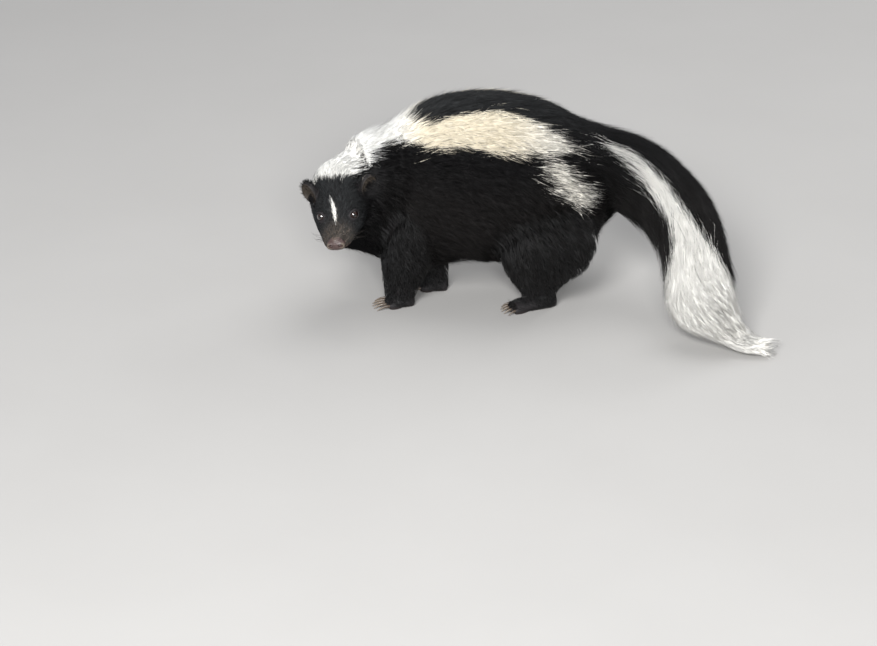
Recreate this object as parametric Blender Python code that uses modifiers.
"""A striped skunk at life size, standing with its head turned to its left and its tail laid down.

The animal faces -X, its left side is -Y and the floor is z = 0. The whole body is lofted from a few
rings along each limb and melted into one form. Thin cuts part it into head, neck, torso, legs, paws
and lengths of tail, and each of these is dressed with flat tapered locks that follow the lie of the
coat. Ring tables are in millimetres, and what is built is in metres.
"""

import math
import random
from typing import NamedTuple

import bmesh
import bpy
from mathutils import Matrix, Vector
from mathutils.bvhtree import BVHTree

MM = 0.001
GAP = 0.3 * MM  # air left between two pieces that touch
CORE_SHARE = 0.5  # the dense core of the coat reaches half way from the skin to the hair tips
RING_SIDES = 24
ROWS_PER_SPAN = 3
VOXEL = 2.6 * MM  # grain at which the joined forms are melted into one
SMOOTH_ROUNDS = 8
BODY_TRIANGLES = 2200  # of the melted body, before it is parted
CORE_TRIANGLES = 900  # of its coarser twin under the long coat
FLOOR_DEPTH = 60 * MM
TOUCH = 0.0003 * MM  # corners nearer than this are one corner
KEPT = 0.46  # share of the triangles kept after the locks are joined on
TRIES = 16  # seeds to try until a node's surface is clean
SHARP = math.radians(40)  # edges that fold more than this stay sharp
SEED = 11


class Ring(NamedTuple):
    """A cross-section of a limb: its centre, its half sizes out to the hair tips, and the coat's depth."""

    x: float
    y: float
    z: float
    wide: float
    high: float
    coat: float


TRUNK = [
    Ring(-148, -30, 126, 22, 37, 6),
    Ring(-139, -26, 123, 32, 47, 8),
    Ring(-128, -22, 118, 39, 55, 11),
    Ring(-115, -16, 117.5, 46, 63.5, 15),
    Ring(-100, -9, 116.5, 51, 68, 17),
    Ring(-80, -3, 115, 57, 75, 18),
    Ring(-50, 0, 119, 65, 83, 19),
    Ring(-20, 0, 127.5, 72, 88, 20),
    Ring(10, 0, 130, 77, 88.5, 20),
    Ring(40, 0, 129, 79, 84, 20),
    Ring(70, 0, 128, 77, 77, 19),
    Ring(98, 0, 130, 67, 64, 18),
    Ring(122, -1, 135, 49, 50, 17),
    Ring(140, -3, 137, 32, 34, 15),
    Ring(150, -4, 137, 12, 12, 5),
]
TAIL = [
    Ring(108, 0, 140, 28, 30, 18),
    Ring(128, 0, 141, 36, 37, 26),
    Ring(148, -7, 138, 38, 37, 29),
    Ring(167, -19, 130, 38, 36, 30),
    Ring(184, -35, 119, 37, 35, 29),
    Ring(198, -54, 106, 37, 34, 29),
    Ring(207, -74, 91, 35, 32, 28),
    Ring(212, -92, 74, 34, 31, 28),
    Ring(214, -106, 58, 36, 33, 30),
    Ring(220, -117, 43, 37, 33, 31),
    Ring(236, -126, 28, 22, 25, 19),
    Ring(254, -133, 13, 12, 16, 10),
    Ring(276, -139, 9, 9, 15.5, 8),
    Ring(298, -143, 8, 8, 15, 6),
]
FORELEG_LEFT = [
    Ring(-60, -26, 116, 26, 32, 14),
    Ring(-65, -32, 96, 29, 37, 13),
    Ring(-69, -32, 72, 25, 32, 10),
    Ring(-74, -30, 50, 20, 27, 8),
    Ring(-77, -29, 34, 17, 22, 6),
    Ring(-80, -28, 17, 13, 17, 4),
    Ring(-80, -28, 5, 11, 13, 2),
]
FORELEG_RIGHT = [
    Ring(-56, 26, 116, 26, 32, 14),
    Ring(-57, 30, 96, 29, 36, 13),
    Ring(-55, 27, 72, 25, 29, 10),
    Ring(-51, 20, 50, 19, 23, 8),
    Ring(-48, 14, 34, 15, 18, 6),
    Ring(-45, 10, 17, 12, 14, 4),
    Ring(-46, 9, 5, 10.5, 12, 2),
]
HINDLEG_LEFT = [
    Ring(54, -30, 128, 30, 44, 18),
    Ring(60, -38, 106, 38, 53, 18),
    Ring(64, -42, 84, 37, 55, 17),
    Ring(63, -42, 62, 31, 50, 14),
    Ring(60, -39, 43, 23, 37, 10),
    Ring(60, -36, 27, 16, 25, 6),
    Ring(62, -34, 14, 12, 16, 3),
    Ring(64, -33, 5, 10.5, 12, 2),
]
HINDLEG_RIGHT = [
    Ring(62, 30, 128, 30, 44, 18),
    Ring(66, 38, 106, 38, 50, 18),
    Ring(70, 42, 84, 37, 51, 17),
    Ring(70, 41, 62, 31, 45, 14),
    Ring(71, 37, 43, 23, 33, 10),
    Ring(72, 31, 27, 16, 23, 6),
    Ring(75, 28, 14, 12, 16, 3),
    Ring(77, 27, 5, 10.5, 12, 2),
]


class HeadRing(NamedTuple):
    """A section of the head: how far forward it is, its top and underside, half width and wedge.

    `wedge` is how much narrower the section is above than below, as a share of its width.
    """

    forward: float
    top: float
    under: float
    wide: float
    wedge: float


# The head's own axes start midway between the ears. Its sizes are forward, left and up from there.
HEAD_CENTRE = Vector((-139.6, -45, 137)) * MM
HEAD_HEADING = math.radians(266)  # the way the nose points over the floor, from +X
HEAD_PITCH = math.radians(-4.5)
HEAD_ROLL = math.radians(6.5)
HEAD = [
    HeadRing(-36, 11, -28, 16, 0.0),
    HeadRing(-27, 19.5, -39, 25, 0.0),
    HeadRing(-12, 24, -42, 31, 0.0),
    HeadRing(2, 21, -42, 31, 0.12),
    HeadRing(14, 13.5, -41.5, 28, 0.2),
    HeadRing(24, 6, -41, 24.8, 0.2),
    HeadRing(34, -2, -40, 21.5, 0.22),
    HeadRing(44, -10, -38.5, 17.8, 0.22),
    HeadRing(54, -16, -37, 14.8, 0.24),
    HeadRing(63, -19, -34.5, 11.7, 0.24),
    HeadRing(69, -21.5, -32, 8.5, 0.24),
    HeadRing(72, -24, -29, 4.5, 0.24),
]
EYE = Vector((33.3, 15.3, -13.4))  # forward, left and up, for the left eye
EYE_RADIUS = 5.0
LID_RADIUS = 1.4
EAR = Vector((6, 29.8, 3.3))
EAR_SIZE = Vector((6.3, 9.4, 12.2))  # half its depth, width and height
FAR_EAR = Vector((0, -1.8, -3.5))  # how the right ear is carried, off the left one's mirrored place
EAR_WALL = 1.9
EAR_TURN = math.radians(36)  # how far the cup opens outwards from straight ahead
EAR_LEAN = math.radians(14)
NOSE_PAD = Vector((67.6, 0, -26.6))
NOSE_PAD_SIZE = Vector((5.4, 9, 6.4))
NOSTRIL = Vector((71.4, 3.9, -26.2))
NOSTRIL_SIZE = Vector((3.4, 1.9, 1.5))
MOUTH_CORNER, MOUTH_FRONT = 38.0, 69.0  # how far forward the mouth's corners and middle are
MOUTH_GROOVE = 0.8
LIP_RADIUS = 1.5


class Foot(NamedTuple):
    """A paw: where its heel stands, the lengths of its sole and toes, its half widths, and its claws."""

    heel: tuple
    turn: float
    sole: float
    heel_wide: float
    ball_wide: float
    toe: float
    toe_radius: float
    claw: float
    claw_radius: float


FEET = {
    "forepaw_left": Foot((-70, -27), 8, 17, 8.5, 11, 9, 3.9, 13, 1.5),
    "forepaw_right": Foot((-36, 9), -6, 17, 8.5, 11, 9, 3.9, 13, 1.5),
    "hindpaw_left": Foot((70, -30), 18, 33, 8, 10.5, 10, 3.8, 8, 1.4),
    "hindpaw_right": Foot((84, 26), -12, 33, 8, 10.5, 10, 3.8, 8, 1.4),
}
LEG_OF = {
    "forepaw_left": "foreleg_left",
    "forepaw_right": "foreleg_right",
    "hindpaw_left": "hindleg_left",
    "hindpaw_right": "hindleg_right",
}
LEGS = list(LEG_OF.values())
ANKLE = 13.5 * MM  # height of the cut between a leg and its paw
SOLE_HIGH = 6.4  # half the thickness of a paw
SOLE_PRESS = 1.0  # how far the floor flattens it
TOES = 5

# Place, width and height.
SOLE_SHAPE = (-0.22, 0.5, 0.7), (-0.08, 0.95, 1.0), (0.65, 1.0, 1.0), (1.12, 0.9, 0.7)
# Place and thickness.
TOE_SHAPE = (-0.3, 0.8), (0.45, 1.0), (1.06, 0.62)
SOLE_SIDES, TOE_SIDES, CLAW_SIDES = 8, 6, 5
TOE_NARROW = 0.6
CLAW_SEAT = 3.2  # how deep a claw sits in its toe
CLAW_ARCH = 1.3
CLAW_SHAPE = (0.0, 0.9, 0.0), (0.3, 1.0, 0.1), (0.68, 0.66, 0.45)  # place, thickness and drop
LID_POINTS = 12
LID_OPENING = 4.8, 4.0
EAR_HOLLOW_AHEAD = 3.4
MOUTH_POINTS = 11
SIDES = ("left", 1), ("right", -1)
TAIL_LENGTHS = ["tail_root", "tail_arch", "tail_plume", "tail_tip"]
CORE_NODES = ["neck", "torso"] + TAIL_LENGTHS

COLOURS = {
    "white": (0.72, 0.68, 0.58),
    "coat": (0.012, 0.011, 0.012),
    "skin": (0.05, 0.035, 0.035),
    "claw": (0.12, 0.09, 0.07),
    "eye": (0.01, 0.006, 0.005),
}
ROUGHNESS = {"white": 0.85, "coat": 0.8, "skin": 0.7, "claw": 0.4, "eye": 0.06}


def head_axes():
    """Forward, left and up of the head, as unit vectors."""
    level = math.cos(HEAD_PITCH)
    ahead, aside = level * math.cos(HEAD_HEADING), level * math.sin(HEAD_HEADING)
    forward = Vector((ahead, aside, math.sin(HEAD_PITCH)))
    left = Vector((0, 0, 1)).cross(forward).normalized()
    left.rotate(Matrix.Rotation(HEAD_ROLL, 3, forward))
    return forward, left, forward.cross(left)


def on_head(forward, left, up):
    """A point given in the head's own millimetres, in metres in the animal's frame."""
    axes = head_axes()
    return HEAD_CENTRE + (axes[0] * forward + axes[1] * left + axes[2] * up) * MM


def between(a, b, c, d, t):
    """A number that runs smoothly from b to c, after Catmull and Rom."""
    square = (2 * a - 5 * b + 4 * c - d) * t * t
    cube = (3 * b - a - 3 * c + d) * t**3
    return 0.5 * (2 * b + (c - a) * t + square + cube)


def refined(rows, per_span):
    """The rows of numbers with smooth rows put between them."""
    out = []
    for i in range(len(rows) - 1):
        four = rows[max(i - 1, 0)], rows[i], rows[i + 1], rows[min(i + 2, len(rows) - 1)]
        for step in range(per_span):
            t = step / per_span
            out.append([between(*numbers, t) for numbers in zip(*four)])
    return out + [list(rows[-1])]


def new_object(name, bm, collection=None):
    """The mesh as an object, in the scene or in a collection."""
    mesh = bpy.data.meshes.new(name)
    bm.to_mesh(mesh)
    bm.free()
    obj = bpy.data.objects.new(name, mesh)
    (collection or bpy.context.scene.collection).objects.link(obj)
    return obj


def loft(name, sections, collection=None, point=None):
    """A closed skin over rings of points. Its ends are fans, and the last one may come to a point."""
    bm = bmesh.new()
    rings = [[bm.verts.new(p) for p in ring] for ring in sections]
    sides = len(rings[0])
    for a, b in zip(rings, rings[1:]):
        for i in range(sides):
            j = (i + 1) % sides
            bm.faces.new((a[i], a[j], b[j]))
            bm.faces.new((a[i], b[j], b[i]))
    for ring, tip in ((rings[0], None), (rings[-1], point)):
        middle = bm.verts.new(tip or sum((v.co for v in ring), Vector()) / sides)
        for i in range(sides):
            bm.faces.new((ring[i], ring[(i + 1) % sides], middle))
    bmesh.ops.recalc_face_normals(bm, faces=bm.faces)
    return new_object(name, bm, collection)


def ellipsoid(name, centre, sizes, axes, columns=16, rows=9):
    """A closed ball with three half sizes along three axes."""
    bm = bmesh.new()
    turn = Matrix([[axes[c][r] for c in range(3)] for r in range(3)]).to_4x4()
    place = Matrix.Translation(centre) @ turn @ Matrix.Diagonal((*sizes, 1))
    bmesh.ops.create_uvsphere(bm, u_segments=columns, v_segments=rows, radius=1, matrix=place)
    bmesh.ops.triangulate(bm, faces=bm.faces)
    bmesh.ops.recalc_face_normals(bm, faces=bm.faces)
    return new_object(name, bm)


def block(name, low, high):
    """A box between two corners."""
    bm = bmesh.new()
    low, high = Vector(low), Vector(high)
    place = Matrix.Translation((low + high) / 2) @ Matrix.Diagonal((*(high - low), 1))
    bmesh.ops.create_cube(bm, size=1, matrix=place)
    return new_object(name, bm)


def removed(objects):
    for obj in objects:
        bpy.data.objects.remove(obj)


def copied(obj, name):
    twin = bpy.data.objects.new(name, obj.data.copy())
    bpy.context.scene.collection.objects.link(twin)
    return twin


def modified(obj, kind, **settings):
    """Adds a modifier, applies it and returns the object."""
    modifier = obj.modifiers.new(kind.title(), kind)
    for key, value in settings.items():
        setattr(modifier, key, value)
    bpy.context.view_layer.update()
    graph = bpy.context.evaluated_depsgraph_get()
    mesh = bpy.data.meshes.new_from_object(obj.evaluated_get(graph))
    obj.modifiers.clear()
    obj.data = mesh
    return obj


def combined(obj, operation, other, keep=False):
    """The object joined with, cut by or kept within another one, which is removed unless it is kept."""
    modified(obj, "BOOLEAN", operation=operation, object=other, solver="MANIFOLD")
    if not keep:
        removed([other])
    return obj


def joined(obj, pieces):
    """One union of the object with every object in a collection, which are then removed."""
    if pieces.objects:
        settings = {"operation": "UNION", "operand_type": "COLLECTION", "solver": "MANIFOLD"}
        modified(obj, "BOOLEAN", **settings, collection=pieces)
    removed(list(pieces.objects))
    bpy.data.collections.remove(pieces)
    return obj


def pile(name):
    """A collection in the scene that holds pieces until they are joined."""
    made = bpy.data.collections.new(name)
    bpy.context.scene.collection.children.link(made)
    return made


def bodies(bm):
    """The mesh's loose bodies as sets of corners, smallest first."""
    left, found = set(bm.verts), []
    while left:
        edge = [left.pop()]
        body = set(edge)
        while edge:
            for link in edge.pop().link_edges:
                for v in link.verts:
                    if v not in body:
                        body.add(v)
                        left.discard(v)
                        edge.append(v)
        found.append(body)
    return sorted(found, key=len)


def without_flaps(bm):
    """Removes faces that lie back to back on the same three corners."""
    seen = {}
    for face in bm.faces:
        seen.setdefault(frozenset(face.verts), []).append(face)
    flaps = [face for faces in seen.values() if len(faces) > 1 for face in faces]
    bmesh.ops.delete(bm, geom=flaps, context="FACES_ONLY")
    bmesh.ops.delete(bm, geom=[edge for edge in bm.edges if not edge.link_faces], context="EDGES")


def largest_body(obj):
    """Splits faces into triangles, and drops the loose scraps and hollows that a union or a cut leaves."""
    bm = bmesh.new()
    bm.from_mesh(obj.data)
    bmesh.ops.triangulate(bm, faces=bm.faces)
    without_flaps(bm)
    loose = [v for body in bodies(bm)[:-1] for v in body]
    bmesh.ops.delete(bm, geom=loose, context="VERTS")
    bm.to_mesh(obj.data)
    bm.free()
    return obj


class Limb:
    """A form that follows rings along a path. A ring's `high` is measured towards `up`."""

    def __init__(self, rings, up):
        self.rows = refined(rings, ROWS_PER_SPAN)
        self.up = Vector(up)
        self.centres = [Vector(row[:3]) * MM for row in self.rows]
        self.reach = [0.0]
        for a, b in zip(self.centres, self.centres[1:]):
            self.reach.append(self.reach[-1] + (b - a).length)
        ends = [self.centres[0]] + self.centres + [self.centres[-1]]
        self.ways = [(after - before).normalized() for before, after in zip(ends, ends[2:])]

    def at(self, reach):
        """Centre, tangent, side, up, half sizes and coat at a distance along the path, in metres."""
        reach = min(max(reach, 0), self.reach[-1] - 1e-6)
        i = max(k for k, r in enumerate(self.reach) if r <= reach)
        t = (reach - self.reach[i]) / (self.reach[i + 1] - self.reach[i])
        along = self.ways[i].lerp(self.ways[i + 1], t).normalized()
        side = self.up.cross(along).normalized()
        wide, high, coat = (
            (self.rows[i][k] * (1 - t) + self.rows[i + 1][k] * t) * MM for k in (3, 4, 5)
        )
        centre = self.centres[i].lerp(self.centres[i + 1], t)
        return centre, along, side, along.cross(side), wide, high, coat

    def point(self, reach, turn, drawn):
        """A point of the ring at a distance along the path, drawn in by `drawn` from the hair tips."""
        centre, _, side, up, wide, high, _ = self.at(reach)
        wide, high = max(wide - drawn, MM), max(high - drawn, MM)
        return centre + side * wide * math.cos(turn) + up * high * math.sin(turn)

    def sections(self, drawn, reaches, sides=RING_SIDES):
        """Rings of points at some distances. `drawn` gives how far a ring lies inside the hair tips."""
        out = []
        for reach in reaches:
            inward = drawn(reach, self.at(reach)[6])
            turns = [2 * math.pi * k / sides for k in range(sides)]
            out.append([self.point(reach, turn, inward) for turn in turns])
        return out

    def solid(self, name, drawn):
        """The whole form as a loft."""
        return loft(name, self.sections(drawn, self.reach))

    def holds(self, point, start):
        """Whether a point lies inside the limb's core beyond `start`."""
        reach = min(self.reach, key=lambda r: (self.at(r)[0] - point).length)
        centre, _, side, up, wide, high, coat = self.at(reach)
        offset = point - centre
        depth = CORE_SHARE * coat - MM
        across, over = offset.dot(side) / (wide - depth), offset.dot(up) / (high - depth)
        return reach > start and across * across + over * over < 1


def core(_, coat):
    return CORE_SHARE * coat


LIMBS = {
    "trunk": Limb(TRUNK, (0, 0, 1)),
    "tail": Limb(TAIL, (0, 1, 0)),
    "foreleg_left": Limb(FORELEG_LEFT, (-1, 0, 0)),
    "foreleg_right": Limb(FORELEG_RIGHT, (-1, 0, 0)),
    "hindleg_left": Limb(HINDLEG_LEFT, (-1, 0, 0)),
    "hindleg_right": Limb(HINDLEG_RIGHT, (-1, 0, 0)),
}


def head_point(forward, turn, out=0.0):
    """A point of the head's surface, `turn` round from its left side, and `out` millimetres off it."""
    rows = HEAD_ROWS
    i = max(k for k in range(len(rows) - 1) if k == 0 or rows[k][0] <= forward)
    t = (forward - rows[i][0]) / (rows[i + 1][0] - rows[i][0])
    top, under, wide, wedge = (rows[i][k] * (1 - t) + rows[i + 1][k] * t for k in (1, 2, 3, 4))
    high = (top - under) / 2 + out
    left = (wide + out) * math.cos(turn) * (1 - wedge * math.sin(turn))
    return on_head(forward, left, (top + under) / 2 + high * math.sin(turn))


HEAD_ROWS = refined(HEAD, ROWS_PER_SPAN)


def head_form():
    """The head as a loft of its sections."""
    turns = [2 * math.pi * k / RING_SIDES for k in range(RING_SIDES)]
    return loft("head_form", [[head_point(row[0], turn) for turn in turns] for row in HEAD_ROWS])


def whole_body():
    """Every limb and the head, melted into one smooth form of few triangles."""
    bm = bmesh.new()
    for piece in [limb.solid(name, core) for name, limb in LIMBS.items()] + [head_form()]:
        bm.from_mesh(piece.data)
        removed([piece])
    body = new_object("body", bm)
    modified(body, "REMESH", mode="VOXEL", voxel_size=VOXEL)
    return modified(body, "SMOOTH", factor=0.5, iterations=SMOOTH_ROUNDS)


def thinned(body, triangles):
    """The same form with fewer triangles, most of them where it curves."""
    body.data.calc_loop_triangles()
    ratio = triangles / len(body.data.loop_triangles)
    return modified(body, "DECIMATE", ratio=ratio, use_collapse_triangulate=True)


class Cup(NamedTuple):
    """Where a limb is parted from what it grows on: its start, and how its mouth widens along the lie."""

    limb: str
    start: float
    margin: float
    slope: float
    cap: float
    stop: float = 1000  # the ring from which the mouth runs straight on
    run_on: float = 16


CUPS = {
    "torso": Cup("trunk", 60, 2, 0.22, 9, 272, 45),
    "foreleg_left": Cup("foreleg_left", 22, 2, 0.25, 2),
    "foreleg_right": Cup("foreleg_right", 22, 2, 0.25, 2),
    "hindleg_left": Cup("hindleg_left", 28, 2, 0.25, 2),
    "hindleg_right": Cup("hindleg_right", 28, 2, 0.25, 2),
    "tail_root": Cup("tail", 33, 4, 0.28, 3),
    "tail_arch": Cup("tail", 95, 1, 0.3, 3),
    "tail_plume": Cup("tail", 165, 1, 0.3, 3),
    "tail_tip": Cup("tail", 235, 1, 0.3, 3),
}
HEAD_CUP = -25, 75, -2, 0.5, 6  # from and to how far forward, its margin there, its slope and its cap


def limb_cup(name, grow=0.0):
    """The space that belongs to a limb, grown by `grow` to leave a gap when it is cut away."""
    cup = CUPS[name]
    limb = LIMBS[cup.limb]
    start = cup.start * MM

    def inward(reach, coat):
        widened = CORE_SHARE * coat - cup.margin * MM - cup.slope * (reach - start)
        return max(widened, -cup.cap * MM) - grow

    rows = [r for r in limb.reach if start + MM < r < cup.stop * MM]
    sections = limb.sections(inward, [start - grow] + rows)
    along = limb.at(rows[-1])[1]
    sections.append([p + along * (cup.run_on * MM + grow) for p in sections[-1]])
    return loft(name + "_cup", sections)


def head_cup(grow=0.0):
    """The space that belongs to the head, grown by `grow`."""
    first, last, margin, slope, cap = HEAD_CUP
    steps = 10
    turns = [2 * math.pi * k / RING_SIDES for k in range(RING_SIDES)]
    sections = []
    for i in range(steps + 1):
        forward = first + (last - first) * i / steps
        out = min(margin + slope * (forward - first), cap) + grow / MM
        place = forward + (-grow / MM if i == 0 else grow / MM if i == steps else 0)
        shape = min(max(forward, HEAD_ROWS[0][0]), HEAD_ROWS[-1][0])
        shift = on_head(place, 0, 0) - on_head(shape, 0, 0)
        sections.append([head_point(shape, turn, out) + shift for turn in turns])
    return loft("head_cup", sections)


class LockRow(NamedTuple):
    """A section of a lock: its place, its share of the width, and how high its sides and its ridge lie."""

    place: float
    width: float
    side: float
    ridge: float


LOCK = [
    LockRow(0.0, 0.8, -0.55, -0.12),
    LockRow(0.34, 1.0, 0.02, 0.6),
    LockRow(0.72, 0.62, 0.5, 0.94),
]
LOCK_END = 0.93  # how high the tip lies, as a share of the way from the core to the outline


class Dressing(NamedTuple):
    """The locks of a node: the limb they lie on and where, their spacing, size and droop."""

    limb: str
    first: float
    last: float
    row: float
    across: float
    width: float
    length: float
    droop: float


DRESSING = {
    "neck": Dressing("trunk", 16, 64, 23, 34, 40, 58, 0.45),
    "torso": Dressing("trunk", 57, 272, 38, 41, 46, 82, 0.55),
    "foreleg_left": Dressing("foreleg_left", 20, 72, 28, 33, 34, 48, 0.0),
    "foreleg_right": Dressing("foreleg_right", 20, 72, 28, 33, 34, 48, 0.0),
    "hindleg_left": Dressing("hindleg_left", 26, 96, 35, 40, 42, 60, 0.0),
    "hindleg_right": Dressing("hindleg_right", 26, 96, 35, 40, 42, 60, 0.0),
    "tail_root": Dressing("tail", 30, 95, 32, 27, 33, 84, 0.0),
    "tail_arch": Dressing("tail", 93, 165, 30, 27, 33, 88, 0.0),
    "tail_plume": Dressing("tail", 163, 235, 30, 26, 33, 84, 0.0),
    "tail_tip": Dressing("tail", 233, 300, 30, 22, 27, 76, 0.0),
}


def blade(name, sections, tip, pieces):
    """A lock: three-sided sections, flat below and ridged above, that run out to a point."""
    bm = bmesh.new()
    rings = [[bm.verts.new(p) for p in ring] for ring in sections]
    for a, b in zip(rings, rings[1:]):
        for i in range(3):
            j = (i + 1) % 3
            bm.faces.new((a[i], a[j], b[j], b[i]))
    bm.faces.new(rings[0])
    end = bm.verts.new(tip)
    for i in range(3):
        bm.faces.new((rings[-1][i], rings[-1][(i + 1) % 3], end))
    bmesh.ops.triangulate(bm, faces=bm.faces)
    bmesh.ops.recalc_face_normals(bm, faces=bm.faces)
    return new_object(name, bm, pieces)


class Coat:
    """Lays the locks of each node over the melted body."""

    def __init__(self, body):
        corners = [v.co.copy() for v in body.data.vertices]
        self.tree = BVHTree.FromPolygons(corners, [tuple(p.vertices) for p in body.data.polygons])
        self.chance = random.Random()

    def near(self, point):
        """The nearest point of the body's surface and the outward direction there."""
        place, normal, _, _ = self.tree.find_nearest(point)
        return place, normal

    def laid(self, point, flow, width, length, lift, shares):
        """The sections and the tip of a lock that follows the body's surface."""
        sections = []
        place, normal = self.near(point)
        done = 0.0
        for row in shares:
            for _ in range(2):
                heading = flow - normal * flow.dot(normal)
                place, normal = self.near(place + heading.normalized() * (row.place - done) * length / 2)
            done = row.place
            across = normal.cross(flow).normalized() * width * row.width / 2
            ring = []
            for offset, high in ((-across, row.side), (Vector(), row.ridge), (across, row.side)):
                foot, up = self.near(place + offset)
                ring.append(foot + (up if offset.length == 0 else (up + normal).normalized()) * lift * high)
            sections.append(ring)
        heading = (flow - normal * flow.dot(normal)).normalized()
        foot, up = self.near(place + heading * (1 - done) * length)
        return sections, foot + up * lift * LOCK_END

    def wound(self, limb, reach, turn, width, length, shares):
        """The sections and the tip of a lock that follows a round limb out to its end."""
        sections = []
        length = min(length, limb.reach[-1] - reach)
        for row in shares:
            place = reach + row.place * length
            _, _, _, _, wide, high, coat = limb.at(place)
            depth = CORE_SHARE * coat
            half = min(width * row.width / (wide + high - 2 * depth), 0.75)
            sections.append(
                [
                    limb.point(place, turn - half, depth * (1 - row.side)),
                    limb.point(place, turn, depth * (1 - row.ridge)),
                    limb.point(place, turn + half, depth * (1 - row.side)),
                ]
            )
        end = limb.at(reach + length)[6] * CORE_SHARE * (1 - LOCK_END)
        return sections, limb.point(reach + length, turn, end)

    def locks(self, name, pieces, seed):
        """Every lock of a node, as loose solids in the collection."""
        self.chance.seed(seed)
        plan = DRESSING[name]
        limb = LIMBS[plan.limb]
        rows = max(1, round((plan.last - plan.first) / plan.row))
        for n in range(rows):
            reach = (plan.first + (plan.last - plan.first) * n / rows) * MM
            _, along, _, _, wide, high, coat = limb.at(reach)
            depth = CORE_SHARE * coat
            rim = math.pi * (wide + high - 2 * depth)
            count = max(3, round(rim / (plan.across * MM)))
            for k in range(count):
                turn = 2 * math.pi * (k + 0.5 * (n % 2) + self.chance.uniform(-0.12, 0.12)) / count
                width = plan.width * MM * self.chance.uniform(0.9, 1.1)
                length = plan.length * MM * self.chance.uniform(0.88, 1.12)
                place = reach + plan.row * MM * self.chance.uniform(-0.15, 0.15)
                if plan.limb == "tail":
                    sections, tip = self.wound(limb, place, turn, width, length, LOCK)
                else:
                    point = limb.point(place, turn, depth)
                    foot, normal = self.near(point)
                    if (foot - point).length > 9 * MM or self.taken(name, foot):
                        continue
                    slack = 1 - abs(normal.z) ** 2
                    flow = along + Vector((0.35 if plan.droop == 0 else 0, 0, -plan.droop * slack))
                    sections, tip = self.laid(foot, flow.normalized(), width, length, depth, LOCK)
                blade("lock", sections, tip, pieces)

    def taken(self, name, point):
        """Whether a point of the surface lies deep in the space of a limb that grows on this one."""
        return name == "torso" and any(LIMBS[n].holds(point, (CUPS[n].start + 14) * MM) for n in LEGS)


def turned(axes, about, angle):
    """Three axes turned round a direction."""
    turn = Matrix.Rotation(angle, 3, about)
    return [turn @ axis for axis in axes]


def mirrored(vector, side):
    """A place on the head for its left side (1) or its right side (-1)."""
    return on_head(vector.x, vector.y * side, vector.z)


def eyeball(name, side, grow=0.0):
    return ellipsoid(name, mirrored(EYE, side), [EYE_RADIUS * MM + grow] * 3, head_axes(), 10, 7)


def tube(name, path, radius, sides, closed=False, pieces=None):
    """A thin round form along a path, closed into a ring if asked."""
    bm = bmesh.new()
    rings = []
    count = len(path)
    for i, p in enumerate(path):
        before = path[i - 1] if closed or i else p
        after = path[(i + 1) % count] if closed or i < count - 1 else p
        along = (after - before).normalized()
        side = along.cross(Vector((0.3, 0.2, 1))).normalized()
        up = along.cross(side)
        size = radius(i / (count - 1)) if callable(radius) else radius
        turns = [2 * math.pi * k / sides for k in range(sides)]
        rings.append([bm.verts.new(p + (side * math.cos(t) + up * math.sin(t)) * size) for t in turns])
    for a, b in zip(rings, rings[1:] + ([rings[0]] if closed else [])):
        for i in range(sides):
            j = (i + 1) % sides
            bm.faces.new((a[i], a[j], b[j], b[i]))
    if not closed:
        bm.faces.new(rings[0])
        bm.faces.new(rings[-1])
    bmesh.ops.triangulate(bm, faces=bm.faces)
    bmesh.ops.recalc_face_normals(bm, faces=bm.faces)
    return new_object(name, bm, pieces)


def eyelids(side, pieces):
    """One almond-shaped roll of skin round the opening of an eye."""
    forward, left, up = head_axes()
    centre = mirrored(EYE, side)
    look = (forward * 0.72 + left * side * 0.62 + up * 0.3).normalized()
    level = (look.cross(up)).normalized()
    rise = level.cross(look)
    path = []
    for k in range(LID_POINTS):
        turn = 2 * math.pi * k / LID_POINTS
        wide, high = LID_OPENING[0] * math.cos(turn), LID_OPENING[1] * math.sin(turn)
        out = math.sqrt(max(0, (EYE_RADIUS + 0.55) ** 2 - wide * wide - high * high))
        path.append(centre + (level * wide + rise * high + look * out) * MM)
    tube("lids", path, LID_RADIUS * MM, 4, True, pieces)


def ear_middle(side):
    """The middle of an ear. The right one is held lower and closer."""
    return mirrored(EAR if side > 0 else EAR + FAR_EAR, side)


def ear_axes(side):
    """Out of the cup, across it and up it."""
    forward, left, up = head_axes()
    axes = turned([forward, left, up], up, EAR_TURN * side)
    return turned(axes, forward, -EAR_LEAN * side)


def ear_shell(name, side, grow=0.0):
    return ellipsoid(name, ear_middle(side), [s * MM + grow for s in EAR_SIZE], ear_axes(side), 12, 7)


def ear(name, side):
    """A cup with a thick rim that opens forwards and outwards."""
    shell = ear_shell(name, side)
    axes = ear_axes(side)
    middle = ear_middle(side) + axes[0] * EAR_HOLLOW_AHEAD * MM
    hollow = ellipsoid("hollow", middle, [(s - EAR_WALL) * MM for s in EAR_SIZE], axes, 12, 7)
    return combined(shell, "DIFFERENCE", hollow)


def mouth_path(out=0.0):
    """Along the mouth from one corner to the other, round the front."""
    path = []
    for k in range(MOUTH_POINTS):
        s = 2 * k / (MOUTH_POINTS - 1) - 1
        forward = MOUTH_CORNER + (MOUTH_FRONT - MOUTH_CORNER) * (1 - s * s) ** 0.6
        slant = math.radians(36) + math.radians(54) * (1 - abs(s)) ** 3
        turn = -slant if s > 0 else slant - math.pi
        path.append(head_point(forward, turn, out))
    return path


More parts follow.
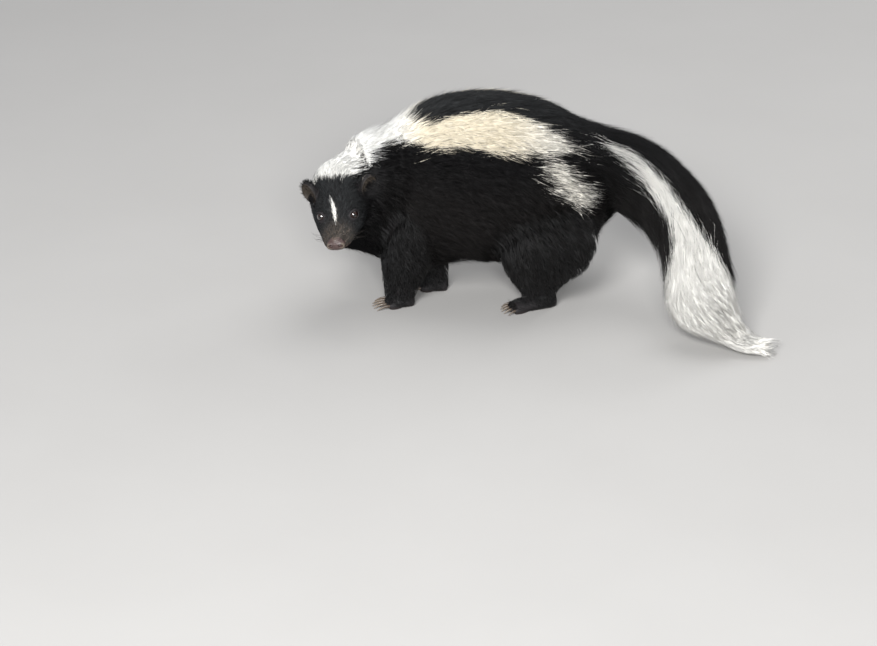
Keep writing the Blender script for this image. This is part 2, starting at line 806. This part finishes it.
def head_features(head):
    """Lips, nose pad and lids, then the mouth line, the nostrils and the sockets of the eyes and ears."""
    extras = pile("features")
    lip = [p for p in mouth_path(-0.9)]
    tube("lips", lip, lambda s: LIP_RADIUS * MM * (0.75 + 0.45 * math.sin(math.pi * s)), 5, False, extras)
    axes = turned(head_axes(), head_axes()[1], math.radians(-8))
    pad = ellipsoid("nose_pad", on_head(*NOSE_PAD), [s * MM for s in NOSE_PAD_SIZE], axes, 10, 6)
    bpy.context.scene.collection.objects.unlink(pad)
    extras.objects.link(pad)
    for side in (1, -1):
        eyelids(side, extras)
    joined(head, extras)
    cuts = [tube("mouth", mouth_path(0.2), MOUTH_GROOVE * MM, 4)]
    for side in (1, -1):
        forward, left, up = head_axes()
        opening = turned([forward, left, up], up, math.radians(32) * side)
        sizes = [s * MM for s in NOSTRIL_SIZE]
        cuts.append(ellipsoid("nostril", mirrored(NOSTRIL, side), sizes, opening, 8, 6))
        cuts.append(eyeball("socket", side, GAP))
        cuts.append(ear_shell("ear_seat", side, GAP))
    for cut in cuts:
        combined(head, "DIFFERENCE", cut)
    return head


def foot_axes(foot):
    """The heel on the floor, and the ways forward and left of a foot."""
    ahead = Matrix.Rotation(math.radians(foot.turn), 3, "Z") @ Vector((-1, 0, 0))
    return Vector((*foot.heel, 0)) * MM, ahead, Vector((0, 0, 1)).cross(ahead)


def toe_line(foot, i):
    """Where a toe starts, and the way that it points."""
    heel, ahead, left = foot_axes(foot)
    spread = (i - (TOES - 1) / 2) / ((TOES - 1) / 2)
    reach = foot.sole - 3.5 * spread * spread
    start = heel + (ahead * reach + left * spread * foot.ball_wide * 0.76) * MM
    way = (ahead + left * spread * 0.16).normalized()
    return start, way


def round_ring(middle, way, wide, high, sides):
    """Points round a middle, square to a level direction."""
    side = Vector((0, 0, 1)).cross(way).normalized() * wide * MM
    rise = Vector((0, 0, high * MM))
    turns = [2 * math.pi * k / sides for k in range(sides)]
    return [middle + side * math.cos(t) + rise * math.sin(t) for t in turns]


def foot_form(foot, pieces):
    """The sole and the five toes of a paw, as loose solids in the collection."""
    heel, ahead, _ = foot_axes(foot)
    middle = (SOLE_HIGH - SOLE_PRESS) * MM
    rings = []
    for place, wide, high in SOLE_SHAPE:
        half = foot.heel_wide * (1 - place) + foot.ball_wide * place
        centre = heel + ahead * place * foot.sole * MM + Vector((0, 0, middle))
        rings.append(round_ring(centre, ahead, half * wide, SOLE_HIGH * high, SOLE_SIDES))
    loft("sole", rings, pieces)
    for i in range(TOES):
        start, way = toe_line(foot, i)
        rings = []
        for place, size in TOE_SHAPE:
            centre = start + way * place * foot.toe * MM + Vector((0, 0, (foot.toe_radius - 0.5) * MM))
            high = foot.toe_radius * size
            rings.append(round_ring(centre, way, high * TOE_NARROW, high, TOE_SIDES))
        loft("toe", rings, pieces)


def claw(name, foot, i, grow=0.0):
    """A curved claw seated in the end of a toe."""
    start, way = toe_line(foot, i)
    rings = []
    for place, size, drop in CLAW_SHAPE:
        ahead = foot.toe - CLAW_SEAT + place * (foot.claw + CLAW_SEAT)
        rise = foot.toe_radius - 0.3 + CLAW_ARCH * math.sin(math.pi * place) - drop * (foot.toe_radius - 1)
        centre = start + way * (ahead * MM - (grow if place == 0 else 0)) + Vector((0, 0, rise * MM))
        size_now = foot.claw_radius * size + grow / MM
        rings.append(round_ring(centre, way, size_now * 0.8, size_now, CLAW_SIDES))
    tip = start + way * (foot.toe + foot.claw) * MM + Vector((0, 0, 0.7 * MM))
    return loft(name, rings, None, tip if not grow else tip + way * grow)


def within(obj, cutter):
    return combined(obj, "INTERSECT", cutter)


def without(obj, cutter):
    return combined(obj, "DIFFERENCE", cutter)


def touches_itself(obj):
    """Whether the surface is open, or touches itself along an edge."""
    bm = bmesh.new()
    bm.from_mesh(obj.data)
    bmesh.ops.remove_doubles(bm, verts=bm.verts, dist=TOUCH)
    found = any(len(edge.link_faces) != 2 for edge in bm.edges)
    bm.free()
    return found


class Skunk:
    """Parts the melted body into nodes and dresses them."""

    def __init__(self):
        self.body = thinned(whole_body(), BODY_TRIANGLES)
        self.core = thinned(copied(self.body, "core"), CORE_TRIANGLES)
        self.coat = Coat(self.core)
        self.nodes = []

    def keep(self, name, colour, shape):
        """Makes a node with a material of its own, with the first seed that gives it a clean surface."""
        for seed in range(SEED, SEED + TRIES):
            obj = largest_body(shape(seed))
            if not touches_itself(obj):
                break
            removed([obj])
        obj.name = name
        made = bpy.data.materials.new(name + "_" + colour)
        made.use_nodes = True
        shader = made.node_tree.nodes["Principled BSDF"]
        shader.inputs["Base Color"].default_value = (*COLOURS[colour], 1)
        shader.inputs["Roughness"].default_value = ROUGHNESS[colour]
        obj.data.materials.clear()
        obj.data.materials.append(made)
        for face in obj.data.polygons:
            face.use_smooth = True
        obj.data.set_sharp_from_angle(angle=SHARP)
        self.nodes.append(obj)

    def dressed(self, name, seed):
        """The whole body with the locks of one node."""
        if name not in DRESSING:
            return copied(self.body, name)
        obj = copied(self.core if name in CORE_NODES else self.body, name)
        pieces = pile("locks")
        self.coat.locks(name, pieces, seed)
        joined(obj, pieces)
        return modified(largest_body(obj), "DECIMATE", ratio=KEPT, use_collapse_triangulate=True)

    def head(self, seed):
        return head_features(within(self.dressed("head", seed), head_cup()))

    def neck(self, seed):
        neck = within(self.dressed("neck", seed), block("front", (-0.3, -0.2, 0), (-0.03, 0.2, 0.4)))
        without(neck, head_cup(GAP))
        for name in ("torso", "foreleg_left", "foreleg_right"):
            without(neck, limb_cup(name, GAP))
        for _, side in SIDES:
            without(neck, ear_shell("ear_seat", side, GAP))
        return neck

    def torso(self, seed):
        torso = within(self.dressed("torso", seed), limb_cup("torso"))
        without(torso, head_cup(GAP))
        for name in LEGS + ["tail_root"]:
            without(torso, limb_cup(name, GAP))
        return torso

    def leg(self, name, seed):
        leg = within(self.dressed(name, seed), limb_cup(name))
        return within(leg, block("above", (-0.5, -0.5, ANKLE), (0.5, 0.5, 0.5)))

    def paw(self, name, seed):
        foot = FEET[name]
        paw = within(copied(self.body, name), limb_cup(LEG_OF[name]))
        within(paw, block("ankle", (-0.5, -0.5, -0.1), (0.5, 0.5, ANKLE - GAP)))
        pieces = pile("foot")
        foot_form(foot, pieces)
        joined(paw, pieces)
        ratio = KEPT + (seed - SEED) / 100
        modified(largest_body(paw), "DECIMATE", ratio=ratio, use_collapse_triangulate=True)
        within(paw, block("foot_space", (-0.5, -0.5, 0), (0.5, 0.5, ANKLE - GAP)))
        for i in range(TOES):
            without(paw, claw("socket", foot, i, GAP))
        return paw

    def tail_length(self, name, seed):
        piece = within(self.dressed(name, seed), limb_cup(name))
        for beyond in TAIL_LENGTHS[TAIL_LENGTHS.index(name) + 1 :][:1]:
            without(piece, limb_cup(beyond, GAP))
        return without(piece, block("floor", (-0.5, -0.5, -FLOOR_DEPTH), (0.5, 0.5, 0)))

    def make(self):
        """Makes every node, from the nose to the tip of the tail."""
        self.keep("head", "coat", self.head)
        for word, side in SIDES:
            self.keep("eye_" + word, "eye", lambda _, side=side: eyeball("eye", side))
            self.keep("ear_" + word, "skin", lambda _, side=side: ear("ear", side))
        self.keep("neck", "coat", self.neck)
        self.keep("torso", "coat", self.torso)
        for name, foot in FEET.items():
            self.keep(LEG_OF[name], "coat", lambda seed, leg=LEG_OF[name]: self.leg(leg, seed))
            self.keep(name, "skin", lambda seed, paw=name: self.paw(paw, seed))
            for i in range(TOES):
                self.keep(f"{name}_claw_{i + 1}", "claw", lambda _, foot=foot, i=i: claw("claw", foot, i))
        for name in TAIL_LENGTHS:
            colour = "white" if name in ("tail_plume", "tail_tip") else "coat"
            self.keep(name, colour, lambda seed, name=name: self.tail_length(name, seed))
        removed([self.body, self.core])

    def settled(self):
        """Moves every node so that the middle of their box stands over the origin, on the floor."""
        corners = [obj.matrix_world @ v.co for obj in self.nodes for v in obj.data.vertices]
        low = Vector([min(c[k] for c in corners) for k in range(3)])
        high = Vector([max(c[k] for c in corners) for k in range(3)])
        shift = Matrix.Translation(-Vector(((low.x + high.x) / 2, (low.y + high.y) / 2, low.z)))
        for obj in self.nodes:
            obj.data.transform(shift)


def main():
    for obj in list(bpy.data.objects):
        bpy.data.objects.remove(obj)
    skunk = Skunk()
    skunk.make()
    home = pile("striped_skunk")
    for obj in skunk.nodes:
        bpy.context.scene.collection.objects.unlink(obj)
        home.objects.link(obj)
    skunk.settled()


if __name__ == "__main__":
    main()
